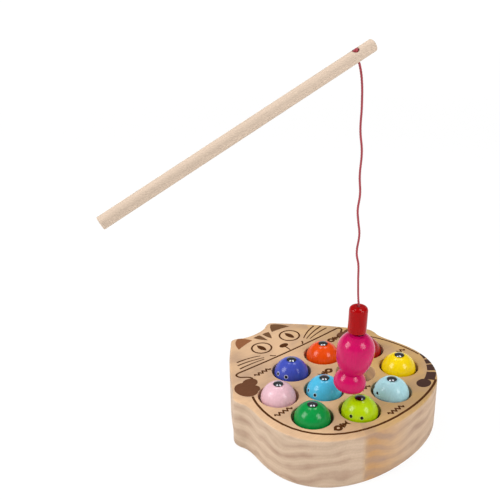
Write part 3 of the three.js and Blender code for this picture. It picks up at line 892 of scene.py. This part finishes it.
class FISHING_OT_stage(bpy.types.Operator):
    """Set up the camera, the lamps, the surroundings and the floor."""

    bl_idname = "fishing_game.stage"
    bl_label = "Stage"

    def execute(self, context):
        stage = context.scene.fishing_stage
        context.scene.view_settings.view_transform = "Standard"
        camera = put("camera", bpy.data.cameras.new("camera"))
        camera.data.lens = stage.lens
        camera.data.clip_start = 0.01
        camera.data.clip_end = 50
        tilt = Matrix.Rotation(math.pi / 2 - stage.elevation, 4, "X")
        axes = Matrix.Rotation(stage.azimuth, 4, "Z") @ tilt @ Matrix.Rotation(stage.roll, 4, "Z")
        camera.matrix_world = Matrix.Translation(stage.camera_place) @ axes
        context.scene.camera = camera
        # Directions of the soft boxes as the camera sees them (right, up, towards it), their width and height
        for name, way, size, strength in (
            ("left_lamp", (-0.8, 0.42, 0.42), (0.5, 0.6), stage.left_lamp),
            ("right_lamp", (0.58, 0.35, 0.74), (0.46, 0.56), stage.right_lamp),
            ("top_left_lamp", (-0.22, 0.97, 0.12), (0.28, 0.28), stage.top_lamps),
            ("top_right_lamp", (0.22, 0.97, 0.12), (0.28, 0.28), stage.top_lamps),
        ):
            lamp = put(name, bpy.data.lights.new(name, "AREA"))
            lamp.data.shape = "RECTANGLE"
            lamp.data.size, lamp.data.size_y = size
            lamp.data.energy = strength
            towards = (axes @ Vector(way)).normalized()
            lamp.location = LIT_PLACE + towards * LAMP_DISTANCE
            lamp.rotation_euler = towards.to_track_quat("Z", "Y").to_euler()
            lamp.visible_camera = False
        self.surroundings(context.scene)
        self.floor(stage)
        return {"FINISHED"}

    def surroundings(self, scene):
        """A studio that is bright round the horizon and overhead, and dim between."""
        world = bpy.data.worlds.new("studio")
        world.use_nodes = True
        tree = world.node_tree
        tree.nodes.clear()
        way = add(tree, "SeparateXYZ", (add(tree, "TexCoord").outputs["Generated"],))
        # Walls, ceiling and haze on the horizon: the heights between which each fades, and its light at both
        light = 0.0
        for fade in ((0.12, 0.42, 0.66, 0.22), (0.5, 0.9, 0.0, 0.15), (0.13, 0.2, 0.34, 0.0)):
            part = add(tree, "MapRange", (way.outputs["Z"], *fade), interpolation_type="SMOOTHSTEP")
            light = add(tree, "Math", (light, part), operation="ADD")
        glow = add(tree, "Background", {"Color": (1.0, 1.0, 1.0), "Strength": light})
        add(tree, "OutputWorld", {"Surface": glow})
        scene.world = world

    def floor(self, stage):
        """A wide pale floor, white to the eye, that keeps a soft shadow."""
        mesh = bpy.data.meshes.new("floor")
        mesh.from_pydata([(-20, -20, 0), (20, -20, 0), (20, 20, 0), (-20, 20, 0)], [], [(0, 1, 2, 3)])
        material, tree, place = start_material("pale_paper")
        tooth = add(tree, "TexNoise", {"Vector": place, "Scale": per_metre(4 * MM), "Detail": 2.0})
        colour = stage.floor_colour
        tint = add(tree, "Mix", {0: tooth, 6: shade(colour, 0.99), 7: colour}, data_type="RGBA")
        paper = add(tree, "BsdfDiffuse", {"Color": tint})
        seen = add(tree, "LightPath").outputs
        ways = seen["Is Camera Ray"]
        for other in ("Is Glossy Ray", "Is Transmission Ray"):
            ways = add(tree, "Math", (ways, seen[other]), operation="MAXIMUM")
        # Far off it is white alone, since the lamps do not reach there
        away = add(tree, "VectorMath", (place,), operation="LENGTH")
        part = add(tree, "MapRange", (away, 0.6, 2.0, 0.85, 1.0))
        share = add(tree, "Math", (ways, part), operation="MULTIPLY")
        white = add(tree, "Emission", {"Color": (1.0, 1.0, 1.0), "Strength": 1.05})
        mixed = add(tree, "MixShader", {0: share, 1: paper, 2: white})
        add(tree, "OutputMaterial", {"Surface": mixed})
        mesh.materials.append(material)
        put("floor", mesh)


class FISHING_OT_line(bpy.types.Operator):
    """Hang the red cord from the rod, with its knots."""

    bl_idname = "fishing_game.line"
    bl_label = "Cord and knots"

    def execute(self, context):
        tackle = context.scene.fishing_tackle
        material = twisted_cord(tackle.cord_colour)
        cord, length = self.cord(tackle, material)
        self.rod_knot(tackle, material)
        hidden_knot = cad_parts["lure_knot"]
        hidden_knot.data.materials.clear()
        hidden_knot.data.materials.append(material)
        return {"FINISHED"}

    def cord(self, tackle, material):
        """One open curve, its three strands laid by a twisted cross-section."""
        lay = 5 * MM
        section = bpy.data.curves.new("cord_section", "CURVE")
        section.dimensions = "2D"
        lobes = section.splines.new("POLY")
        around = turns(24)
        lobes.points.add(len(around) - 1)
        # Three strands, with grooves between them
        for corner, turn in zip(lobes.points, around):
            reach = tackle.cord_diameter / 2 * (0.86 + 0.14 * math.cos(3 * turn))
            corner.co = (reach * math.cos(turn), -reach * math.sin(turn), 0.0, 1.0)
        lobes.use_cyclic_u = True
        data = bpy.data.curves.new("cord", "CURVE")
        data.dimensions = "3D"
        data.resolution_u = 20
        data.bevel_mode = "OBJECT"
        data.use_fill_caps = True
        points = [LURE_LEAN @ Vector((0.0, 0.0, height)) * MM for height in LURE_HEIGHTS]
        points += [Vector((side, 0.0, height)) * MM for side, height in CORD_ROUTE]
        points += [CORD_TOP + HOLE_DOWN * (1.5 * tackle.cord_diameter), CORD_TOP]
        line = data.splines.new("BEZIER")
        line.tilt_interpolation = "LINEAR"
        line.bezier_points.add(len(points) - 1)
        run = 0.0
        for index, point in enumerate(points):
            if index:
                run += (point - points[index - 1]).length
            knot = line.bezier_points[index]
            knot.co = TACKLE_PLACE @ point
            knot.handle_left_type = "AUTO"
            knot.handle_right_type = "AUTO"
            knot.tilt = 2 * math.pi * run / lay
        data.materials.append(material)
        cord = put("red_cord", data)
        profile = put("cord_section", section)
        profile.hide_render = True
        data.bevel_object = profile
        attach(cord, "line")
        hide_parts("cord")
        return cord, line.calc_length()

    def rod_knot(self, tackle, material):
        """An overhand knot in the mouth of the rod's hole, with the stretch of cord that fills the hole."""
        thick = tackle.cord_diameter * 0.42
        radius = tackle.rod_diameter / 2
        seat = radius - KNOT_SEAT_DEPTH + FIT
        made = bmesh.new()
        reach = (KNOT_RADIUS - thick) / 3
        rise = KNOT_HEIGHT / 2 - thick
        loop = [
            (reach * (math.sin(t) + 2 * math.sin(2 * t)), reach * (math.cos(t) - 2 * math.cos(2 * t)),
             seat + KNOT_HEIGHT / 2 - rise * math.sin(3 * t))
            for t in turns(60)
        ]
        joined(made, tube(loop, thick, 4, True))
        # Pulled tight, the knot is longer along the rod than across it
        bmesh.ops.scale(made, vec=(1.15, 0.7, 1.0), verts=made.verts)
        stub = [(0, 0, -radius - CORD_LEAD), (0, 0, seat + KNOT_HEIGHT * 0.8)]
        joined(made, tube(stub, tackle.cord_diameter / 2, 4))
        show("tied_knot", made, [material], "rod", ["rod_knot"], rod_place(tackle))


class FISHING_OT_lure(bpy.types.Operator):
    """Make the lure's capsule and the magnet in its lower end."""

    bl_idname = "fishing_game.lure"
    bl_label = "Lure"

    def execute(self, context):
        tackle = context.scene.fishing_tackle
        made = turned(self.capsule(tackle), FINE_STEPS, True)
        red = red_capsule(tackle.capsule_colour)
        show("capsule", made, [red], "line", ["lure_capsule"], LURE_PLACE)
        radius, edge, top = tackle.magnet_diameter / 2, 0.35 * MM, tackle.magnet_thickness
        disc = turned(chain(
            [(0, 0)], bend((radius - edge, 0), (radius, 0), (radius, edge), 5),
            bend((radius, top - edge), (radius, top), (radius - edge, top), 5), [(0, top)]), FINE_STEPS)
        nickel = bare_metal("nickel_plate", "#C8C5BE", 0.14, 0.26)
        show("magnet", disc, [nickel], "line", ["lure_magnet"], LURE_PLACE)
        return {"FINISHED"}

    def capsule(self, tackle):
        """The capsule's wall: socket for the magnet, chamber for the knot, hole for the cord."""
        outer = tackle.capsule_diameter / 2
        socket = tackle.magnet_diameter / 2 + FIT
        chamber = KNOT_RADIUS + FIT
        hole = tackle.cord_diameter / 2 + FIT
        foot = tackle.magnet_stands_out
        top = foot + tackle.capsule_length
        shoulder = tackle.magnet_thickness + FIT / 2
        ceiling = tackle.magnet_thickness + FIT + KNOT_HEIGHT + FIT
        rim, crown, lip = 0.5 * MM, tackle.capsule_crown, 0.3 * MM
        return chain(
            [(socket, foot)],
            bend((outer - rim, foot), (outer, foot), (outer, foot + rim), 6),
            bend((outer, top - crown), (outer, top), (outer - crown, top), 10),
            bend((hole + lip, top), (hole, top), (hole, top - lip), 4),
            [(hole, ceiling), (chamber, ceiling), (chamber, shoulder), (socket, shoulder)],
        )


class FISHING_OT_rod(bpy.types.Operator):
    """Make the rod with the hole for the cord."""

    bl_idname = "fishing_game.rod"
    bl_label = "Rod"

    def execute(self, context):
        tackle = context.scene.fishing_tackle
        radius = tackle.rod_diameter / 2
        made = bmesh.new()
        lying = Matrix.Translation((ROD_HOLE_FROM_TIP - tackle.rod_length / 2, 0, 0)) @ about("Y", 90)
        bmesh.ops.create_cone(made, cap_ends=True, segments=FINE_STEPS, radius1=radius, radius2=radius,
                              depth=tackle.rod_length, matrix=lying)
        rims = [edge for edge in made.edges if any(len(face.verts) > 4 for face in edge.link_faces)]
        bmesh.ops.bevel(made, geom=rims, offset=ROD_CHAMFER * 0.75, affect="EDGES", segments=3, profile=0.5,
                        material=-1)
        bore, knot_bore, seat = tackle.cord_diameter / 2 + FIT, KNOT_RADIUS + FIT, radius - KNOT_SEAT_DEPTH
        far = 2 * radius
        hole = [(0, -far), (bore, -far), (bore, seat), (knot_bore, seat), (knot_bore, far), (0, far)]
        made = cut(made, turned(hole, SMALL_STEPS))
        close(made)
        place = rod_place(tackle)
        turn = place.to_3x3().inverted().to_euler()
        show("dowel", made, [rod_dowel(tackle.rod_colour, turn)], "rod", ["rod"], place)
        return {"FINISHED"}


class FISHING_OT_block(bpy.types.Operator):
    """Make the cat-shaped block with its pockets."""

    bl_idname = "fishing_game.block"
    bl_label = "Block"

    def execute(self, context):
        block = context.scene.fishing_block
        fish = context.scene.fishing_fish
        made = rounded_slab(cat_outline(), 0.0, block.thickness, block.edge_round)
        radius, lip, top = block.pocket_diameter / 2, block.pocket_lip, block.thickness
        floor = top - block.pocket_depth
        profile = chain(
            [(0, floor), (radius, floor)], bend((radius, top - lip), (radius, top), (radius + lip, top), 6),
            [(radius + lip, top + 2 * lip), (0, top + 2 * lip)])
        tool = bmesh.new()
        pockets = []
        for colour in FISH_COLOURS:
            cutter = turned(profile, FINE_STEPS)
            place = fish_place(colour, fish).translation
            if colour == CAUGHT:
                # Its own pocket is across from this one
                place = fish_place("sky_blue", fish).translation * Vector((-1, 1, 1))
            bmesh.ops.translate(cutter, vec=(place.x, place.y, 0), verts=cutter.verts)
            joined(tool, cutter)
            pockets.append(place.xy)
        made = cut(made, tool)
        # The walls of the pockets are bored wood
        for face in made.faces:
            middle = face.calc_center_median()
            drilled = any((middle.xy - pocket).length < radius + lip for pocket in pockets)
            face.material_index = int(drilled and middle.z < top - lip / 9)
        sanded = pine("sanded_pine", block, block.early_wood, block.second_board)
        bored = pine("bored_pine", block, block.planed_wood, block.planed_second)
        show("cat_shaped_block", made, [sanded, bored], "block", ["cat_block"])
        return {"FINISHED"}


class FISHING_OT_print(bpy.types.Operator):
    """Print the cat's face and the marks on the block's top."""

    bl_idname = "fishing_game.print"
    bl_label = "Print"

    def execute(self, context):
        block = context.scene.fishing_block
        for piece, ink, colour, draws in (
            ("printed_lines", "brown_ink", block.ink, (draw_face, draw_body)),
            ("printed_paws", "paw_brown_ink", block.paw_ink, (draw_paws,)),
            ("printed_tail", "dark_brown_ink", block.tail_ink, (draw_tail,)),
            ("printed_ear", "light_brown_ink", block.ear_ink, (draw_left_ear,)),
            ("printed_brow", "brow_brown_ink", block.brow_ink, (draw_right_ear, draw_brow)),
        ):
            inked = Print(block.thickness, block.edge_round)
            for draw in draws:
                draw(inked)
            show(piece, inked.made, [brown_print(ink, colour)], "block")
        return {"FINISHED"}


class FISHING_OT_fish(bpy.types.Operator):
    """Turn the ten fish and set their steel noses."""

    bl_idname = "fishing_game.fish"
    bl_label = "Fish"

    def execute(self, context):
        fish = context.scene.fishing_fish
        # The steel's colour is painted dark: painted shade standing in for the dark surroundings that its
        # polish would reflect, so that only the lamps' glints show bright on it
        steel = bare_metal("polished_steel", "#66676A", 0.1, 0.18)
        bore = fish.shank_diameter / 2 + FIT
        bore_floor = fish.length - fish.shank_length - FIT
        skin = chain([(0, 0)], fish_skin(fish), [(bore, fish.length), (bore, bore_floor), (0, bore_floor)])
        head, shank, high = fish.steel_diameter / 2, fish.shank_diameter / 2, fish.steel_height
        nail = chain([(0, -fish.shank_length), (shank, -fish.shank_length), (shank, 0), (head, 0)],
                     bend((head, high * 0.15), (head * 0.5, high), (0, high), 16))
        for colour, (code, _, _) in FISH_COLOURS.items():
            place = fish_place(colour, fish)
            made = turned(skin, FINE_STEPS)
            lacquer = lacquered_beech(f"{colour}_lacquer_on_beech", linear(code))
            body = f"{colour}_fish"
            show(f"{colour}_turned_fish", made, [lacquer], body, [f"fish_{colour}_body"], place)
            made = turned(nail, SMALL_STEPS)
            seat = place @ Matrix.Translation((0, 0, fish.length + FIT))
            show(f"{colour}_steel_nose", made, [steel], body, [f"fish_{colour}_nose"], seat)
        return {"FINISHED"}


class FISHING_OT_eyes(bpy.types.Operator):
    """Print two eyes on each fish."""

    bl_idname = "fishing_game.eyes"
    bl_label = "Eyes"

    def execute(self, context):
        fish = context.scene.fishing_fish
        black = eye_paint("black_eye_paint", linear("#0C0C0E"))
        skin = fish_skin(fish)
        spot = min(range(1, len(skin) - 1), key=lambda index: abs(skin[index].y - fish.eye_height))
        along = skin[spot + 1] - skin[spot - 1]
        out = Vector((along.y, 0.0, -along.x)).normalized()
        centre = Vector((skin[spot].x, 0.0, skin[spot].y))
        # The pale ring and the black dot on it: their widths, and how far they stand out
        films = ((fish.eye_diameter, 0.05 * MM), (fish.pupil_diameter, 0.09 * MM))
        for colour, (code, facing, white) in FISH_COLOURS.items():
            pale = eye_paint(f"pale_{colour}_eye_paint", paler(linear(code), white))
            made = bmesh.new()
            for side in (-1, 1):
                turn = Matrix.Rotation(math.radians(facing) + side * fish.eye_turn, 4, "Z")
                seat = turn @ Matrix.Translation(centre) @ out.to_track_quat("Z", "Y").to_matrix().to_4x4()
                for index, (width, proud) in enumerate(films):
                    disc = self.film(width / 2, proud, fish.body_diameter / 2)
                    for face in disc.faces:
                        face.material_index = index
                    bmesh.ops.transform(disc, matrix=fish_place(colour, fish) @ seat, verts=disc.verts)
                    joined(made, disc)
            show(f"{colour}_eyes", made, [pale, black], f"{colour}_fish")
        return {"FINISHED"}

    def film(self, radius, proud, curve):
        """A round film that follows the fish's curve, its rim sunk in the lacquer."""
        reaches = [radius * index / FILM_RINGS for index in range(FILM_RINGS + 1)]
        dome = [(reach, proud - reach ** 2 / (2 * curve)) for reach in reaches]
        low = dome[-1][1] - FILM_SINK
        return turned(chain(dome, [(radius, low), (0, low)]), FILM_SIDES)


class FISHING_PT_panel(bpy.types.Panel):
    """Sizes and colours of the game, with a button for each group of pieces."""

    bl_idname = "FISHING_PT_panel"
    bl_label = "Fishing game"
    bl_space_type = "VIEW_3D"
    bl_region_type = "UI"
    bl_category = "Fishing game"

    def draw(self, context):
        for title, group, operators in (
            ("Stage", context.scene.fishing_stage, ("stage",)),
            ("Rod and lure", context.scene.fishing_tackle, ("line", "lure", "rod")),
            ("Block", context.scene.fishing_block, ("block", "print")),
            ("Fish", context.scene.fishing_fish, ("fish", "eyes")),
        ):
            box = self.layout.box()
            box.label(text=title)
            for key in group.__annotations__:
                box.prop(group, key, text=key.replace("_", " ").capitalize())
            for name in operators:
                box.operator(f"fishing_game.{name}")


SETTINGS = {
    "fishing_block": BlockSettings, "fishing_fish": FishSettings, "fishing_tackle": TackleSettings,
    "fishing_stage": StageSettings,
}
CLASSES = (
    *SETTINGS.values(), FISHING_OT_stage, FISHING_OT_line, FISHING_OT_lure, FISHING_OT_rod, FISHING_OT_block,
    FISHING_OT_print, FISHING_OT_fish, FISHING_OT_eyes, FISHING_PT_panel,
)


def register():
    for kind in CLASSES:
        bpy.utils.register_class(kind)
    for name, kind in SETTINGS.items():
        setattr(bpy.types.Scene, name, PointerProperty(type=kind))


def unregister():
    for name in SETTINGS:
        delattr(bpy.types.Scene, name)
    for kind in reversed(CLASSES):
        bpy.utils.unregister_class(kind)


def main():
    register()
    for step in ("stage", "line", "lure", "rod", "block", "print", "fish", "eyes"):
        getattr(bpy.ops.fishing_game, step)()


if __name__ == "__main__":
    main()
